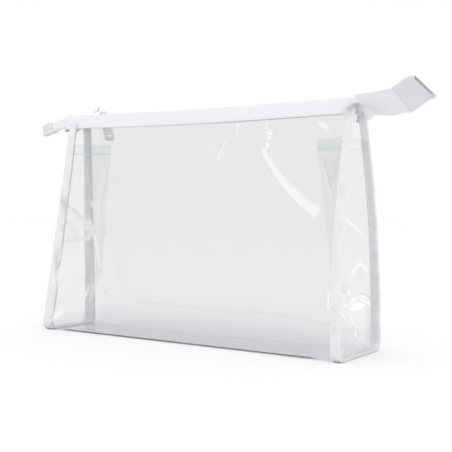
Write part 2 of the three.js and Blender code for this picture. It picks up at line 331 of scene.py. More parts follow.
def plainFinish(name, colour, shade, roughness, spot=3.0, height=0.01, ior=1.5):
    # an even finish: its tone, gloss and surface vary a little over spots of the given size
    material, tree = newMaterial(name)
    coords = addNode(tree, "TexCoord")
    grain = addNode(tree, "TexNoise", {"Vector": coords.outputs["Object"], "Scale": 1000 / spot,
                                       "Detail": 3.0})
    tone = addNode(tree, "Mix", {"Factor": grain.outputs[0], "A": toLinear(colour), "B": toLinear(shade)},
                   data_type="RGBA")
    rough = addNode(tree, "MapRange", {"Value": grain.outputs[0], "To Min": roughness * 0.8,
                                       "To Max": roughness * 1.2})
    bump = addNode(tree, "Bump", {"Height": grain.outputs[0], "Distance": height * mm})
    finish = addNode(tree, "BsdfPrincipled", {"Base Color": tone.outputs["Result"], "IOR": ior,
                                              "Roughness": rough.outputs[0], "Normal": bump.outputs[0]})
    addNode(tree, "OutputMaterial", {"Surface": finish.outputs[0]})
    return material


clearFilm = clearVinyl("clearVinylCalendered", filmLook)
# the gussets are the thinner gauge: clearer, with less glare
gussetFilm = clearVinyl("clearVinylThin", {**filmLook, "tint": "#FCFCFC", "haze": 0.008, "mirror": 0.03})
# the hems are two layers stuck flat: the faint green of the sheet shows
hemFilm = clearVinyl("clearVinylDoubled", {**filmLook, "tint": "#FEFFFF", "haze": 0.0, "mirror": 0.01})
whiteStrip = milkyVinyl("milkyVinylEmbossed", milkyLook)
# the caps are folded double: nearly opaque and greyer
capStrip = milkyVinyl("milkyVinylCap", {**milkyLook, "clear": 0.08, "colour": "#E0DFE6"})
tapeWeave = wovenPolyester("polyesterTapeWoven", weaveLook)
nylonCoil = plainFinish("nylonMonofilament", "#F2F2F4", "#E4E4E9", 0.4, ior=1.53)       # drawn: soft gloss
whitePlastic = plainFinish("acetalMoulded", "#FAFAFB", "#F0F0F3", 0.3, ior=1.48)        # satin white
sewnThread = plainFinish("polyesterThread", "#F8F8FA", "#DEDEE6", 0.7, spot=0.8)        # matt twist
stopMetal = plainFinish("steelWhiteEnamelled", "#ECECEF", "#DADADF", 0.3)               # dipped: glossy

# camera, floor and lights
view = {
    "place": (335.0, -489.6, 90.4),
    "turn": 32.52,
    "pitch": -1.32,
    "roll": 0.372,
    "lens": 70.1,
}
camera = bpy.data.objects.new("camera", bpy.data.cameras.new("camera"))
scene.collection.objects.link(camera)
camera.data.lens = view["lens"]
camera.data.sensor_width = 36
camera.data.clip_start = 0.01
camera.matrix_world = (Matrix.Translation(Vector(view["place"]) * mm)
                       @ Matrix.Rotation(radians(view["turn"]), 4, "Z")
                       @ Matrix.Rotation(radians(90 + view["pitch"]), 4, "X")
                       @ Matrix.Rotation(radians(view["roll"]), 4, "Z"))
scene.camera = camera

studio = {
    "world": 1.0,
    "floor": "#F8F8F8",
    "floorSize": 12.0,                  # metres
    "sun": 0.20,                        # a broad overhead scrim, which shades the floor softly
    "sunAngle": 50.0,
    "sunTilt": (14.0, 6.0),
    "lampDistance": 1.4,                # metres
    "softboxes": {                      # the way to each lamp, its size in metres, watts and aim
        "frontGlint": {"toward": (-0.28, -0.80, 0.50), "size": (0.25, 0.25), "power": 0.35,
                       "aim": (70, -15, 105)},
        "backGlint": {"toward": (0.41, 0.91, 0.12), "size": (0.16, 0.30), "power": 0.35,
                      "aim": (110, 0, 80)},
        "rightKey": {"toward": (0.80, -0.40, 0.42), "size": (0.24, 0.24), "power": 0.7,
                     "aim": (-90, 0, 70)},
        "leftStrip": {"toward": (-0.86, -0.50, 0.35), "size": (0.16, 0.30), "power": 0.7,
                      "aim": (-95, -20, 60)},
    },
}
scene.world = bpy.data.worlds.new("studio")
scene.world.use_nodes = True
scene.world.node_tree.nodes["Background"].inputs["Color"].default_value = (1, 1, 1, 1)
scene.world.node_tree.nodes["Background"].inputs["Strength"].default_value = studio["world"]
scene.view_settings.view_transform = "Standard"
scene.cycles.transparent_max_bounces = 40      # a look through the whole pouch meets many faces

floorMesh = bmesh.new()
bmesh.ops.create_grid(floorMesh, x_segments=1, y_segments=1, size=studio["floorSize"] / 2)
floorData = bpy.data.meshes.new("floor")
floorMesh.to_mesh(floorData)
floorMesh.free()
floor = bpy.data.objects.new("floor", floorData)
scene.collection.objects.link(floor)
matt = plainFinish("paintedFloor", studio["floor"], studio["floor"], 0.9, spot=40, height=0)    # dead flat
floorData.materials.append(matt)


def softbox(name, box):                 # an area light facing a place on the pouch
    light = bpy.data.lights.new(name, "AREA")
    light.shape = "RECTANGLE"
    light.size, light.size_y = box["size"]
    light.energy = box["power"]
    lamp = bpy.data.objects.new(name, light)
    scene.collection.objects.link(lamp)
    direction = Vector(box["toward"]).normalized()
    lamp.location = Vector(box["aim"]) * mm + direction * studio["lampDistance"]
    lamp.rotation_euler = direction.to_track_quat("Z", "Y").to_euler()


scrim = bpy.data.lights.new("scrim", "SUN")
scrim.energy = studio["sun"]
scrim.angle = radians(studio["sunAngle"])
scrimLamp = bpy.data.objects.new("scrim", scrim)
scene.collection.objects.link(scrimLamp)
scrimLamp.rotation_euler = [radians(angle) for angle in (*studio["sunTilt"], 0)]
for name, box in studio["softboxes"].items():
    softbox(name, box)
print("camera, floor and lights")


def share(x):                           # 0 at the left seam, 1 at the right one
    return min(1.0, max(0.0, (x + pouch["halfLength"]) / (2 * pouch["halfLength"])))


def seamX(side, z):
    lean = pouch["leanLeft"] if side < 0 else pouch["leanRight"]
    return side * (pouch["halfLength"] - lean * z / pouch["tapeFoot"])


def baseHalfAt(x):
    return pouch["baseHalf"] - pouch["leftPinch"] * (1 - share(x))


def ridgeSag(x):
    u = share(x)
    return pouch["sag"] * (4 * u * (1 - u)) ** 2


def bulgeAt(x, z):                      # how far the right end is bowed out between floor and zip
    bow = pouch["bulge"] * sin(pi * min(1.0, max(0.0, z) / pouch["bulgeTop"]))
    return bow * smoothStep(pouch["bulgeFrom"], 1.0, share(x)) * (1 - smoothStep(*pouch["bulgeFade"], z))


def wallLean(baseHalf):                 # how far each panel leans in, in radians
    return atan2(baseHalf - pouch["mouthHalf"], pouch["tapeFoot"])


def footCut(lean):                      # how much of the corner the foot's curve takes from wall and base
    return pouch["footRadius"] * tan((pi / 2 + lean) / 2)


def section(x, t):
    # one panel from its top edge, t 0, round the foot to the middle of the base, t 1:
    # y outward, z, and the outward direction there
    baseHalf, radius = baseHalfAt(x), pouch["footRadius"]
    lean = wallLean(baseHalf)
    cut = footCut(lean)
    wall = pouch["filmTop"] / cos(lean) - cut
    wallEnd, arcEnd = pouch["wallEnd"], pouch["arcEnd"]
    if t < wallEnd:
        down = wall * t / wallEnd
        out = (cos(lean), sin(lean))
        y = baseHalf - (pouch["filmTop"] - down * cos(lean)) * tan(lean)
        z = pouch["filmTop"] - down * cos(lean)
    else:
        turn = mix(lean, -pi / 2, min(1.0, (t - wallEnd) / (arcEnd - wallEnd)))
        out = (cos(turn), sin(turn))
        y = baseHalf - cut + radius * out[0]
        z = radius + radius * out[1]
        if t > arcEnd:
            y = (baseHalf - cut) * (1 - t) / (1 - arcEnd)
    inset = pouch["film"] / 2
    return y - out[0] * inset + bulgeAt(x, z), z - out[1] * inset, out


def sideHalf(x, z):                     # half the pouch's depth at a height
    baseHalf, radius = baseHalfAt(x), pouch["footRadius"]
    lean = wallLean(baseHalf)
    if z < radius * (1 + sin(lean)):
        return baseHalf - footCut(lean) + sqrt(max(0.0, radius ** 2 - (radius - z) ** 2)) + bulgeAt(x, z)
    return baseHalf - z * tan(lean) + bulgeAt(x, z)


# body film: one cut folded into front, base and back
bodyFilm = {
    "columns": 190,
    "rows": 208,
    "tuck": 3.6,                        # how far the cut runs on under the side bindings
    "trim": 4.0,                        # the cut is narrower than the base by this, as the seams lean in
    "underTape": 1.9,                   # the top edge steps in by this, to lie inside the tapes,
    "stepHeights": (143.2, 145.8),      # between these heights
    "waves": [(95.0, 1.5, 2.0), (42.0, 0.45, 7.0)],      # size, height and seed
    "calmSide": 26.0,                   # the waves die away this near a seam
    "calmFoot": (6.0, 34.0),            # and between these heights
    "calmHead": (112.0, 142.0),
    "shadedFoot": (1.0, 20.0),          # the foot's painted shade fades out between these heights
    "paintedShade": (0.7, 1.8),              # and the painted contact shadow along the front's foot between these
    # lines of a few places along x and z: width and height are a ridge's, half is a painted glint's half
    # width
    "frontCreases": [
        {"start": (57.5, 126), "end": (102, 86), "width": 4.6, "height": 0.95, "bow": 3.3},
        {"start": (61.5, 138), "end": (57, 126), "width": 2.6, "height": 0.50},
        {"start": (58, 150), "end": (58.5, 138), "width": 2.2, "height": 0.42},
        {"start": (36, 150), "end": (36.5, 135), "width": 2.4, "height": 0.42},
        {"start": (29, 132), "end": (22, 119), "width": 2.6, "height": 0.34},
        {"start": (95, 142), "end": (102, 137), "width": 2.6, "height": 0.30},
        {"start": (112, 42), "end": (112, 28), "width": 1.8, "height": 0.4},
        {"start": (-112, 96), "end": (-84, 66), "width": 3.4, "height": 1.3},
        {"start": (-108, 74), "end": (-76, 68), "width": 3.0, "height": 1.0},
        {"start": (-110, 56), "end": (-104, 30), "width": 3.0, "height": 1.1, "bow": 2.0},
        {"start": (-115, 2), "end": (-99, 17), "width": 3.0, "height": 1.2},
        {"start": (-104, 24), "end": (-98, 12), "width": 2.4, "height": 0.7},
    ],
    "frontPaintedGlints": [
        {"start": (57.5, 126), "end": (102, 86), "half": (1.5, 3.6), "bow": 3.3, "white": 0.72},
        {"start": (60.5, 138), "end": (61.5, 132), "half": (1.9, 1.6), "white": 0.65},
        {"start": (58, 147), "end": (58.3, 139), "half": (1.3, 1.0), "white": 0.45},
        {"start": (36, 147), "end": (36.8, 135), "half": (1.2, 1.0), "white": 0.40},
        {"start": (28, 131), "end": (23, 120), "half": (1.2, 0.8), "white": 0.35},
        {"start": (95, 141.5), "end": (102, 137), "half": (1.8, 1.3), "white": 0.60},
        {"start": (112.3, 41), "end": (112.3, 31), "half": (1.0, 1.0), "white": 0.50},
        # a painted white patch, standing in for a gap where the bright backdrop shows through
        {"start": (-101.7, 146), "end": (-100.3, 134), "half": (3.2, 3.2), "white": 0.85},
        {"start": (-117, 2), "end": (-99.5, 15.5), "half": (0.9, 2.4), "white": 0.80},
        {"start": (-111, 14), "end": (-105, 10), "half": (1.6, 1.3), "white": 0.65},
        {"start": (-107.5, 62), "end": (-108, 50), "half": (1.3, 2.0), "white": 0.60},
        {"start": (-105.5, 47), "end": (-108.5, 33), "half": (2.4, 1.6), "white": 0.65},
        {"start": (-108.5, 33), "end": (-112, 22), "half": (1.6, 2.0), "white": 0.65},
        {"start": (-112, 22), "end": (-111, 14), "half": (1.8, 1.2), "white": 0.60},
        {"start": (-77.6, 33), "end": (-81, 24.5), "half": (0.9, 0.9), "white": 0.50},
    ],
    "backPaintedGlints": [
        {"start": (-107, 38), "end": (-98, 24), "half": (1.2, 1.6), "white": 0.45},
        {"start": (110, 60), "end": (106, 44), "half": (1.2, 1.4), "white": 0.45},
    ],
    "backCreases": [
        {"start": (-70, 126), "end": (-96, 88), "width": 4.6, "height": 0.9, "bow": 2.0},
        {"start": (20, 132), "end": (34, 112), "width": 3.0, "height": 0.5},
        {"start": (104, 60), "end": (80, 28), "width": 3.6, "height": 0.8},
        {"start": (-108, 40), "end": (-86, 14), "width": 3.2, "height": 0.8},
    ],
}


def filmLift(x, z, sideSign):
    near = bodyFilm["calmSide"]
    calm = smoothStep(0, near, x - seamX(-1, z)) * smoothStep(0, near, seamX(1, z) - x)
    calm *= smoothStep(*bodyFilm["calmFoot"], z) * (1 - smoothStep(*bodyFilm["calmHead"], z))
    lift = 0.0
    for size, height, seed in bodyFilm["waves"]:
        lift += height * ripple(x, z, size, seed + 30 * sideSign)
    creases = bodyFilm["frontCreases"] if sideSign < 0 else bodyFilm["backCreases"]
    edge = smoothStep(-1, 4, z)
    return lift * calm + creaseLift(creases, x, z) * edge * (1 - 0.6 * smoothStep(140, 148, z))


def filmPlace(u, v):
    sideSign = -1 if v < 0.5 else 1
    t = 1 - abs(2 * v - 1)
    tuck = bodyFilm["tuck"]
    middle = mix(-pouch["halfLength"], pouch["halfLength"], u)
    y, z, out = section(middle, t)
    x = mix(seamX(-1, z) - tuck, seamX(1, z) + tuck, u)
    lift = filmLift(x, z, sideSign)
    y, z = y + out[0] * lift, z + out[1] * lift
    y -= bodyFilm["underTape"] * smoothStep(*bodyFilm["stepHeights"], z)
    z = max(z, pouch["film"] / 2) - ridgeSag(x) * smoothStep(pouch["sagFrom"], pouch["filmTop"], z)
    return x, sideSign * y, z


cutLean = atan2(pouch["baseHalf"] - pouch["mouthHalf"], round(pouch["tapeFoot"]))
panelLength = pouch["filmTop"] / cos(cutLean)
girth = 2 * (panelLength + pouch["baseHalf"]) - 2 * pouch["footRadius"]      # front, base and back
filmCut = ((2 * pouch["halfLength"] + 2 * bodyFilm["tuck"] - bodyFilm["trim"]) * mm, girth * mm)
filmMesh = sheetGrid(bodyFilm["columns"], bodyFilm["rows"], filmPlace, filmCut)
turnOut(filmMesh, lambda p: (0, p.y, p.z - 90))


def paintedShadeAt(p):                       # painted shade: 0 on the walls, up to 0.4 at the foot, 1 in the painted contact shadow along the front's foot
    ends = smoothStep(3, 18, pouch["halfLength"] - abs(p.x))
    foot = 0.4 * (1 - smoothStep(*bodyFilm["shadedFoot"], p.z)) * (0.5 + 0.5 * ends)
    if p.y > pouch["footRadius"] + 1.5 - baseHalfAt(p.x):
        return foot
    return max(foot, ends * (1 - smoothStep(*bodyFilm["paintedShade"], p.z)))


def filmPaintedGlintAt(p):                     # none on the base
    bands = bodyFilm["frontPaintedGlints" if p.y < 0 else "backPaintedGlints"]
    return paintedGlintAt(bands, p.x, p.z) * smoothStep(0.3, 1, p.z)


paintVerts(filmMesh, "paintedShade", paintedShadeAt)
paintVerts(filmMesh, "paintedGlint", filmPaintedGlintAt)
filmPiece = toPiece(filmMesh, "bodyFilm", clearFilm, nodes=["body_film"],
                    thickness=pouch["film"])
print("body film")

# gussets, pleated into the pouch, with a turned hem along the top
hemLow, hemHigh = nodeBox("gusset_hem_left")
gussetTop = hemHigh.z
hemHeight = gussetTop - hemLow.z
pleat = {
    "clear": 0.9,                       # the gussets stay this far inside the panels
    "tuck": 3.4,                        # how far their edges run on under the side bindings
    "edge": 0.06,                       # the share at each edge that lies flat in the binding
    "wave": (22.0, 0.5),                # size and height
    "lowBulge": 1.6,                    # below the pleat the film stands out by this
    "footGap": 0.6,
    "topGap": 0.8,                      # up to here it is bare; the hem covers the edge
    "cutHalf": (22.5, 16.0),            # half the depth and the pleat's depth, as the flat cut takes them
}
gussets = {
    -1: {
        "name": "left",
        "top": gussetTop + 1.5,
        "creaseY": 6.0,                 # where the fold lies, from the middle
        "depth": [(0, 3), (12, 9), (24, 17), (45, 23), (80, 25), (130, 27)],     # (height, depth)
        "sharp": 0.10,                  # less is a sharper fold
        "creases": [
            {"start": (-18, 96), "end": (2, 70), "width": 2.6, "height": 1.8},
            {"start": (-16, 66), "end": (12, 72), "width": 2.4, "height": 1.6},
            {"start": (-14, 52), "end": (-6, 30), "width": 2.6, "height": 1.5},
            {"start": (-18, 12), "end": (4, 26), "width": 2.4, "height": 1.4},
            {"start": (16, 88), "end": (8, 40), "width": 3.0, "height": 1.0},
            {"start": (14, 26), "end": (-2, 6), "width": 2.2, "height": 1.2},
        ],
        # painted highlights along the crumpled creases
        "paintedGlint": [
            {"start": (-11, 89), "end": (-1.5, 68), "half": (1.1, 2.6), "white": 0.85},
            {"start": (-14, 63), "end": (-3, 67), "half": (1.3, 2.4), "white": 0.75},
            {"start": (-12, 79), "end": (-8, 66), "half": (1.5, 1.0), "white": 0.60},
            {"start": (-1.5, 68), "end": (-0.3, 85), "half": (1.4, 0.7), "white": 0.65},
            {"start": (-0.3, 85), "end": (0.7, 117), "half": (0.7, 0.5), "white": 0.55},
            {"start": (-2.2, 93.5), "end": (-1.6, 88.5), "half": (1.7, 1.7), "white": 0.75},
            {"start": (14, 84), "end": (9, 44), "half": (1.0, 1.6), "white": 0.50},
        ],
    },
    1: {
        "name": "right",
        "top": gussetTop,
        "creaseY": 0.0,
        "depth": [(0, 0), (26, 0.6), (38, 4), (53, 15.0), (82, 19.4), (106, 22.0), (130, 24.8)],
        "sharp": 0.07,
        "creases": [
            {"start": (-22, 31), "end": (7.5, 35), "width": 1.8, "height": -1.5},
            {"start": (6, 36), "end": (25, 28.5), "width": 2.0, "height": -1.6, "bow": -1.5},
            {"start": (-19, 26), "end": (3.5, 11.5), "width": 1.6, "height": -1.3},
            {"start": (-1, 12), "end": (13, 2), "width": 2.4, "height": -1.2, "bow": 2.0},
            {"start": (8, 45), "end": (18, 55), "width": 3.2, "height": -1.4},
            {"start": (17, 56), "end": (25, 49), "width": 2.6, "height": -1.0},
            {"start": (9, 85), "end": (21, 72), "width": 0.9, "height": -0.5},
            {"start": (-3, 122), "end": (-15, 95), "width": 3.0, "height": 0.8},
        ],
        # painted highlights along the pleat's creases
        "paintedGlint": [
            {"start": (-3.4, 121), "end": (-8.5, 105), "half": (0.8, 2.4), "white": 0.80},
            {"start": (-8.5, 106), "end": (-15, 95), "half": (2.4, 0.7), "white": 0.80},
            {"start": (11.5, 82.5), "end": (19.8, 73.5), "half": (0.6, 0.6), "white": 0.60},
            {"start": (12, 48), "end": (18, 55), "half": (1.2, 1.3), "white": 0.55},
            {"start": (18, 55), "end": (24, 50), "half": (1.3, 0.9), "white": 0.50},
            {"start": (-6.5, 32), "end": (7.5, 35), "half": (0.8, 0.8), "white": 0.50},
            {"start": (7.5, 35), "end": (23, 29), "half": (0.8, 1.0), "white": 0.55},
            {"start": (-6.5, 25), "end": (-1.3, 12), "half": (0.8, 1.0), "white": 0.50},
        ],
    },
}


def gussetPoint(side, u, z):            # across from the front seam, u 0, to the back seam, u 1
    gusset, edge = gussets[side], pleat["edge"]
    seam = seamX(side, z)
    half = sideHalf(seam, z) - pleat["clear"]
    if u < edge or u > 1 - edge:
        inside = min(u, 1 - u) / edge
        y = half * (-1 if u < edge else 1)
        return Vector((seam + side * pleat["tuck"] * (1 - inside), y, z))
    across = mix(-half, half, (u - edge) / (1 - 2 * edge))
    crease = gusset["creaseY"] * half / pouch["baseHalf"] * 1.4
    reach = (across - crease) / ((half - crease) if across > crease else (half + crease))
    soft = gusset["sharp"]
    fold = 1 - (sqrt(reach ** 2 + soft ** 2) - soft) / (sqrt(1 + soft ** 2) - soft)
    fold = mix(fold, smoothStep(0, 1, fold), 0.25)
    depth = along(gusset["depth"], z)
    low = 1 - smoothStep(30, 46, z)
    bulge = low * pleat["lowBulge"] * (1 - reach ** 2) * smoothStep(0, 10, z)
    lift = creaseLift(gusset["creases"], across, z) * smoothStep(0, 5, half - abs(across))
    waveSize, waveHeight = pleat["wave"]
    lift += waveHeight * ripple(across, z, waveSize, 11.0 + side) * (1 - reach ** 2)
    return Vector((seam - side * (depth * fold - bulge + lift), across, z))


def gussetOut(side, u, z):              # which way the outside of the gusset faces there
    step = 0.004
    low, high = max(0.0, u - step), min(1.0, u + step)
    acrossway = gussetPoint(side, high, z) - gussetPoint(side, low, z)
    upway = gussetPoint(side, u, z + 0.5) - gussetPoint(side, u, z - 0.5)
    out = acrossway.cross(upway).normalized()
    return out * (1 if side > 0 else -1)


def gussetPiece(side):
    gusset = gussets[side]
    name, foot, top = gusset["name"], pleat["footGap"], gusset["top"] - pleat["topGap"]
    cut = (2 * hypot(*pleat["cutHalf"]) * mm, gussetTop * mm)
    mesh = sheetGrid(120, 130, lambda u, v: gussetPoint(side, u, mix(foot, top, v)), cut)
    turnOut(mesh, lambda p: (side, 0, 0))
    paintVerts(mesh, "paintedGlint", lambda p: paintedGlintAt(gusset["paintedGlint"], p.y, p.z))
    piece = toPiece(mesh, name + "Gusset", gussetFilm, nodes=["gusset_" + name],
                    thickness=pouch["film"] * 0.8)


hem = {
    "gap": 0.65,                        # from the gusset's middle to each layer's middle
    "turn": 0.9,                        # how far down the top edge rounds over
    "ends": (0.045, 0.955),             # the shares across the gusset between which it lies
    "cutHalf": (10.0, 20.0),            # half the mouth and the pleat's depth, as the flat cut takes them
    "thickness": 0.35,
    "stitches": 22,
    "stitchEnds": (0.07, 0.93),
    "stitchUp": 1.2,                    # from the hem's lower edge
    "stitchSize": (1.7, 0.45),
}


def hemPiece(side):                     # the gusset's top edge turned over and sewn down
    name, gap, top = gussets[side]["name"], hem["gap"], gussets[side]["top"]

    def place(u, v):
        down = abs(2 * v - 1) * hemHeight
        offset = gap * (1 if v > 0.5 else -1) * smoothStep(0, hem["turn"], down)
        inner = mix(*hem["ends"], u)
        return gussetPoint(side, inner, top - down) + gussetOut(side, inner, top - down) * offset
    cut = (2 * hypot(*hem["cutHalf"]) * mm, 2 * hemHeight * mm)
    mesh = sheetGrid(90, 32, place, cut)
    turnOut(mesh, lambda p: (0, 0, 1))
    piece = toPiece(mesh, name + "GussetHem", hemFilm, nodes=["gusset_hem_" + name],
                    thickness=hem["thickness"])
    stitches = bmesh.new()
    z = top - hemHeight + hem["stitchUp"]
    places = []
    for i in range(hem["stitches"]):
        u = mix(*hem["stitchEnds"], (i + 0.5) / hem["stitches"])
        tangent = gussetPoint(side, u + 0.01, z) - gussetPoint(side, u - 0.01, z)
        places.append((gussetPoint(side, u, z) + gussetOut(side, u, z) * (gap + 0.2), tangent))
    stitchRow(stitches, places, hem["stitchSize"])
    toPiece(stitches, name + "HemStitches", sewnThread)


for side in (-1, 1):
    gussetPiece(side)
    hemPiece(side)
print("gussets")

# side bindings: a strip folded round the seam's raw edges, front, under and back
binding = {
    "inner": {-1: (4.6, 2.4), 1: (1.3, 1.1)},      # how far it reaches in past the seam, low and high
    "reach": {-1: (5.0, 4.2), 1: (5.3, 4.0)},      # and out
    "half": 0.62,                       # half the folded strip's thickness
    "swell": (9.0, 0.15),               # that swells and thins: size, and share of the thickness
    "wander": (14.0, 0.25),             # and the strip strays in and out: size and height
    "foldShare": 0.12,                  # the share on each side of its middle that turns round the edge
    "top": 149.0,
    "riseFrom": 120.0,                  # the strip runs on past the panels' top, stretched from this height
    "thickness": 0.3,
    "stitchPitch": 3.0,
    "stitchIn": 0.07,                   # the rows' place in from the strip's edges, as a share of its width
    "stitchOut": 0.18,
    "stitchSize": (2.1, 0.42),
}


def bindingPoint(side, t, w):           # t along the seam as for section, w round the strip's own fold
    sideSign = -1 if t < 0.5 else 1
    y, z, out = section(side * pouch["halfLength"], 1 - abs(2 * t - 1))
    rise = smoothStep(binding["riseFrom"], pouch["filmTop"], z) * (binding["top"] - pouch["filmTop"])
    high = min(1.0, z / pouch["filmTop"])
    reach = mix(*binding["reach"][side], high)
    inner = mix(*binding["inner"][side], high)
    (swellSize, swell), (wanderSize, wander) = binding["swell"], binding["wander"]
    half = binding["half"] * (1 + swell * ripple(z, side * 9, swellSize, 3.0))
    foldShare = binding["foldShare"]
    if abs(w - 0.5) < foldShare:
        angle = (w - 0.5) / foldShare * pi / 2
        outward, off = reach - half + half * cos(angle), half * sin(angle)
    else:
        flat = (abs(w - 0.5) - foldShare) / (0.5 - foldShare)
        outward = reach - half - (inner + reach - half) * flat
        off = half * (1 if w > 0.5 else -1) * (1 - 0.35 * smoothStep(0.8, 1, flat))
    outward += wander * ripple(z, side * 5 + sideSign, wanderSize, 8.0)
    x = seamX(side, z) + side * outward
    z = max(z + out[1] * off + rise, 0.3 + half * 0.3)
    return Vector((x, sideSign * (y + out[0] * off), z - ridgeSag(x)))


def bindingPiece(side):
    name = gussets[side]["name"]
    cut = (girth * mm, 2 * (binding["inner"][side][0] + binding["reach"][side][0]) * mm)
    mesh = sheetGrid(150, 20, lambda u, v: bindingPoint(side, u, v), cut)
    turnOut(mesh, lambda p: (side, 0, 0))
    piece = toPiece(mesh, name + "SideBinding", whiteStrip,
                    nodes=["side_binding_" + name], thickness=binding["thickness"])
    stitches = bmesh.new()
    count = int(girth / binding["stitchPitch"])
    places = []
    for i in range(count):
        t = (i + 0.5) / count
        for w in (1 - binding["stitchIn"], binding["stitchIn"]):
            middle = bindingPoint(side, t, w)
            tangent = bindingPoint(side, min(1, t + 0.002), w) - bindingPoint(side, max(0, t - 0.002), w)
            inside = bindingPoint(side, t, 1 - w)
            places.append((middle + (middle - inside).normalized() * binding["stitchOut"], tangent))
    stitchRow(stitches, places, binding["stitchSize"])
    toPiece(stitches, name + "BindingStitches", sewnThread)


for side in (-1, 1):
    bindingPiece(side)
print("side bindings")

# zip: two woven tapes, two coils, stitch rows, stops, slider and pull
zipParts = {
    "flat": 3.4,                        # each tape lies flat this far from the middle, then folds down
    "foldAngle": 70.8,
    "bendHalf": 1.1,
    "tapeWidth": {-1: 14.2, 1: 12.9},   # each tape, middle to edge, front and back
    "stitchUp": 1.6,                    # the stitch row's place, up from that edge
    "tapeEnd": tapeHigh.x,
    "shoulder": tapeHigh.z + 0.7,
    "tapeInner": 0.8,                   # from the middle to each tape's inner edge
    "tapeOuter": 0.5,                   # the outer edge is turned in by this
    "thickness": 0.6,
    "tapeWave": (16.0, 0.10),           # size and height
    "coilPitch": 1.25,
    "coilRadius": 0.62,
    "coilFlat": 1.25,                   # each turn is this much wider than it is high
    "coilOffset": 1.0,
    "coilDrop": 2.0,                    # from the CAD coil's top down to the middle of the turns
    "wire": 0.56,
    "sliderDrop": 1.3,                  # what rides on the coil sits this much lower than in the CAD
    "stopDrop": 2.1,
    "stitchPitch": 3.2,
    "stitchOut": 0.4,                   # the thread lies this far out from the tape's middle
    "stitchSize": (2.3, 0.5),
}


def bendSection(w, bends):
    # y and z after w millimetres, turning down by each bend's (place, half length, angle)
    y = z = heading = at = 0.0
    for place, half, angle in bends:
        run = min(w, place - half) - at
        if run > 0:
            y, z, at = y + run * cos(heading), z - run * sin(heading), at + run
        run = min(w, place + half) - at
        if run > 0:
            curve = max(1e-4, angle / (2 * half))
            turned = heading + curve * run
            y += (sin(turned) - sin(heading)) / curve
            z -= (cos(heading) - cos(turned)) / curve
            heading, at = turned, at + run
    run = max(0.0, w - at)
    return y + run * cos(heading), z - run * sin(heading)


tentBends = [(zipParts["flat"], zipParts["bendHalf"], radians(zipParts["foldAngle"]))]


def tapePiece(name, sign):
    width, inner = zipParts["tapeWidth"][sign], zipParts["tapeInner"]
    waveSize, waveHeight = zipParts["tapeWave"]
    cut = (2 * zipParts["tapeEnd"] * mm, (width - inner) * mm)

    def place(u, v):
        x = mix(-zipParts["tapeEnd"], zipParts["tapeEnd"], u)
        w = mix(inner, width - zipParts["tapeOuter"], v)
        y, drop = bendSection(w, tentBends)
        z = zipParts["shoulder"] + drop - ridgeSag(x)
        return x, sign * y, z + waveHeight * ripple(x, w, waveSize, 5.0)
    mesh = sheetGrid(180, 22, place, cut)
    turnOut(mesh, lambda p: (0, sign, 1))
    piece = toPiece(mesh, "zipTape" + name, tapeWeave, nodes=["zip_tape_" + name.lower()],
                    thickness=zipParts["thickness"])


def coilPiece(name, sign):              # a coiled monofilament, spun round its own length
    low, high = nodeBox("zip_coil_" + name.lower())
    pitch, wire, steps = zipParts["coilPitch"], zipParts["wire"] / 2, 10
    turns = int((high.x - low.x) / pitch) - 1
    middle = Vector((low.x + (0.5 * pitch if sign > 0 else 0.0), sign * zipParts["coilOffset"],
                     high.z - zipParts["coilDrop"]))
    radius = zipParts["coilRadius"]
    bm = bmesh.new()
    bmesh.ops.create_circle(bm, segments=5, radius=wire * mm,
                            matrix=Matrix.Translation((middle + Vector((0, 0, radius))) * mm)
                            @ Matrix.Rotation(pi / 2, 4, "X"))
    bmesh.ops.spin(bm, geom=bm.verts[:] + bm.edges[:], cent=middle * mm, axis=(1, 0, 0),
                   dvec=Vector((pitch / steps, 0, 0)) * mm, angle=2 * pi * turns, steps=steps * turns)
    for vert in bm.verts:
        vert.co.y = (middle.y + (vert.co.y / mm - middle.y) * zipParts["coilFlat"]) * mm
        vert.co.z -= ridgeSag(vert.co.x / mm) * mm
    bmesh.ops.recalc_face_normals(bm, faces=bm.faces[:])
    toPiece(bm, "zipCoil" + name, nylonCoil, nodes=["zip_coil_" + name.lower()])


def zipStitches(name, sign):
    low, high = nodeBox("zip_stitch_" + name.lower())
    bm = bmesh.new()
    places = []
    pitch, out = zipParts["stitchPitch"], zipParts["stitchOut"]
    fold = radians(zipParts["foldAngle"])
    y, drop = bendSection(zipParts["tapeWidth"][sign] - zipParts["stitchUp"], tentBends)
    y, z = y + out * sin(fold), zipParts["shoulder"] + drop + out * cos(fold)
    for i in range(int((high.x - low.x) / pitch)):
        x = low.x + (i + 0.5) * pitch
        places.append(((x, sign * y, z - ridgeSag(x)), (1, 0, 0)))
    stitchRow(bm, places, zipParts["stitchSize"])
    toPiece(bm, "zipStitches" + name, sewnThread, nodes=["zip_stitch_" + name.lower()])


def roundedCopy(node, name, material, body, edge, drop):       # a CAD node, lowered, its edges eased
    bm = bmesh.new()
    bm.from_mesh(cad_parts[node].data)
    bmesh.ops.translate(bm, verts=bm.verts[:], vec=(0, 0, -drop * mm))
    bmesh.ops.remove_doubles(bm, verts=bm.verts[:], dist=1e-6)
    bmesh.ops.dissolve_limit(bm, angle_limit=radians(2), verts=bm.verts[:], edges=bm.edges[:])
    sharp = [e for e in bm.edges if len(e.link_faces) == 2 and e.calc_face_angle(0) > radians(25)]
    bmesh.ops.bevel(bm, geom=sharp, offset=edge * mm, offset_type="OFFSET", affect="EDGES",
                    segments=3, profile=0.5, material=-1, clamp_overlap=True)
    piece = toPiece(bm, name, material, body=body, nodes=[node])
    piece.data.polygons.foreach_set("use_smooth", [False] * len(piece.data.polygons))


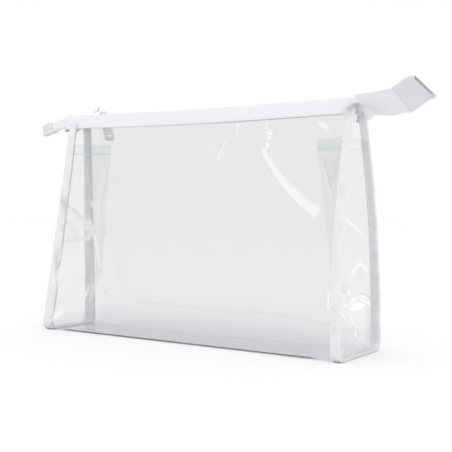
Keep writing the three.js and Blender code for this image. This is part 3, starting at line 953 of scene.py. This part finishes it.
for name, sign in (("Front", -1), ("Back", 1)):
    tapePiece(name, sign)
    coilPiece(name, sign)
    zipStitches(name, sign)
for end in ("left", "right"):
    roundedCopy("zip_stop_" + end, end + "ZipStop", stopMetal, "pouch", 0.25,
                zipParts["stopDrop"])
roundedCopy("slider_body", "sliderBody", whitePlastic, "slider", 0.18,
            zipParts["sliderDrop"])
roundedCopy("pull_tab", "pullTab", whitePlastic, "pull", 0.22, zipParts["sliderDrop"])
print("zip")

# zip tails: the tapes run on past the ends, open flat, and end in a turned cap
tailTape = {
    "half": 15.3,                       # the tapes' full width, middle to edge
    "flatShare": 0.9,                   # the share of it that the flat cut keeps
    "bendHalf": 0.8,
    "wave": (12.0, 0.2),                # size and height
    "settle": (0, 6),                   # the shape takes over from the tapes' between these places
    "hingeHeight": 154.6,
    "blendLength": 9.0,
    "capTurn": 0.06,                    # the share of the cap's length, each side, that turns round
    "capRound": 0.9,                    # how far past the edge it bulges there
    "capThickness": 0.4,
    "foldedMiddle": 3.1,                # from the left tail's top down to the middle of its folded height
    "stitchIn": 1.5,                    # from the cap's inner edge
    "stitchPitch": 3.0,
    "stitchOut": 0.25,
    "stitchSize": (2.0, 0.45),
}
tails = {                               # each list holds (place along the tail, value) pairs
    -1: {                               # folded up narrow, on edge
        "name": "left",
        "length": 27.0,
        "height": [(0, 0), (5, -0.9), (12, -2.6), (20, -4.6), (27, -6.4)],     # of its top, over the shoulder
        "fold": [(0, 1.0), (7, 90 / 70.8)],     # how far it is folded down, as a share of the tapes' fold
        "flat": [(0, 3.4), (7, 1.6)],   # how far from the middle it stays flat
        "tuck": [(0, 0.0), (9, pi)],    # the edges turn up inside
        "leg": 5.3,                     # from the fold to that turn
        "width": [(0, 1.0), (9, 0.72)],
        "bendHalf": tailTape["bendHalf"],
        "tilt": [(0, 0)],               # how far it is turned about its own length, in degrees
        "skew": 0.0,                    # the end is cut askew by this share of the width
        "capLength": 10.0,
        "capGap": 2.0,                  # from the tail's middle surface to each layer
        "capHalf": 3.9,
    },
    1: {                                # opened flat
        "name": "right",
        "length": 44.0,
        "height": [(0, 0), (6, -4.2), (18, -4.6), (30, -3.2), (44, 3.3)],
        "fold": [(0, 1.0), (9, 0.0)],
        "flat": [(0, 3.4)],
        "tuck": [(0, 0.0)],
        "leg": 9.0,
        "width": [(0, 1.0), (12, 0.93)],
        "bendHalf": zipParts["bendHalf"],
        "tilt": [(0, 0), (6, 18), (18, 22), (30, 23), (44, 18)],
        "skew": 0.11,
        "capLength": 12.5,
        "capGap": 0.75,
        "capOpen": 1.1,                 # its two layers stand open this far at the end
        "capPast": 1.6,                 # and run on past the tape
        "capLip": 2.6,                  # the lower layer stops short of the upper one by this
        "capHalf": 15.2,
    },
}


def tailPoint(side, run, w):            # run from the tapes' end, w across from the middle
    tail, half = tails[side], tailTape["bendHalf"]
    flat = along(tail["flat"], run)
    bends = [(flat, tail["bendHalf"], along(tail["fold"], run) * radians(zipParts["foldAngle"])),
             (flat + tail["leg"] + half, half, along(tail["tuck"], run))]
    y, drop = bendSection(abs(w) * along(tail["width"], run), bends)
    y = y if w > 0 else -y
    tilt = radians(along(tail["tilt"], run))
    slope = (along(tail["height"], run + 1) - along(tail["height"], run - 1)) / 2
    settled = smoothStep(*tailTape["settle"], run)
    waveSize, waveHeight = tailTape["wave"]
    dz = drop + waveHeight * ripple(run, w, waveSize, 21.0) * settled
    x = zipParts["tapeEnd"] + run + tail["skew"] * w * smoothStep(10, tail["length"], run)
    x -= dz * slope * settled
    return Vector((side * x, y * cos(tilt) + dz * sin(tilt),
                   zipParts["shoulder"] + along(tail["height"], run) - y * sin(tilt) + dz * cos(tilt)))


def capPoint(side, run, across, off):   # a place off the tail's own middle surface
    if side < 0:                        # that surface stands upright between the two folded halves
        slope = (tailPoint(side, run + 1, 0) - tailPoint(side, run - 1, 0)).normalized()
        down = Vector((slope.z, 0, -slope.x)) * (1 if slope.x < 0 else -1)
        middle = tailPoint(side, run, 0) - Vector((0, 0, tailTape["foldedMiddle"]))
        return middle + Vector((0, -off, 0)) + Vector((down.x, 0, abs(down.z))) * across
    alongway = tailPoint(side, run + 0.3, across) - tailPoint(side, run - 0.3, across)
    acrossway = tailPoint(side, run, across + 0.3) - tailPoint(side, run, across - 0.3)
    return tailPoint(side, run, across) + alongway.cross(acrossway).normalized() * off


def tailPieces(side):
    tail = tails[side]
    name, length, half = tail["name"], tail["length"], tailTape["half"]
    cut = (length * mm, 2 * half * tailTape["flatShare"] * mm)
    mesh = sheetGrid(56, 72, lambda u, v: tailPoint(side, length * u, mix(-half, half, v)), cut)
    turnOut(mesh, lambda p: (0, 0, 1))
    ribbon = toPiece(mesh, name + "ZipTail", tapeWeave, body=None,
                     nodes=["zip_tail_" + name], thickness=zipParts["thickness"])
    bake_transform(ribbon)
    capLength, gap, capHalf = tail["capLength"], tail["capGap"], tail["capHalf"]
    turn, bulge = tailTape["capTurn"], tailTape["capRound"]

    def capPlace(u, v):
        far = (abs(v - 0.5) - turn) / (0.5 - turn)
        across = mix(-capHalf, capHalf, u)
        if side > 0:                    # folded along its front edge and open at the end
            run = mix(length - capLength, length + tail["capPast"], u)
            opening = mix(gap, tail["capOpen"], u)
            if far < 0:
                angle = (v - 0.5) / turn * pi / 2
                return capPoint(side, run, -capHalf - bulge * cos(angle), -opening * sin(angle))
            across = -capHalf + far * (2 * capHalf - (tail["capLip"] if v > 0.5 else 0))
            return capPoint(side, run, across, opening * (1 if v < 0.5 else -1))
        if far < 0:
            angle = (v - 0.5) / turn * pi / 2
            run, off = length + bulge * cos(angle), -gap * sin(angle)
        else:
            run, off = length - far * capLength, gap * (1 if v < 0.5 else -1)
        return capPoint(side, run, across, off)
    leastCut = 10.1                     # a cap's flat size is stated as at least this
    cut = (max(2 * capHalf, leastCut) * mm, 2 * (capLength + gap) * mm)
    mesh = sheetGrid(48, 44, capPlace, cut)
    turnOut(mesh, lambda p: (side, 0, 0))
    cap = toPiece(mesh, name + "TailCap", capStrip, body="tail_" + name,
                  nodes=["tail_cap_" + name], thickness=tailTape["capThickness"])
    stitches = bmesh.new()
    places = []
    count = round(2 * capHalf / tailTape["stitchPitch"])
    run = length - capLength + tailTape["stitchIn"]
    out = gap + tailTape["stitchOut"]
    for i in range(count):
        across = mix(1 - capHalf, capHalf - 1, (i + 0.5) / count)
        direction = capPoint(side, run, across + 0.5, gap) - capPoint(side, run, across - 0.5, gap)
        for off in (out, -out):
            places.append((capPoint(side, run, across, off), direction))
    stitchRow(stitches, places, tailTape["stitchSize"])
    toPiece(stitches, name + "CapStitches", sewnThread, body="tail_" + name)


for side in (-1, 1):
    tailPieces(side)
print("tails")
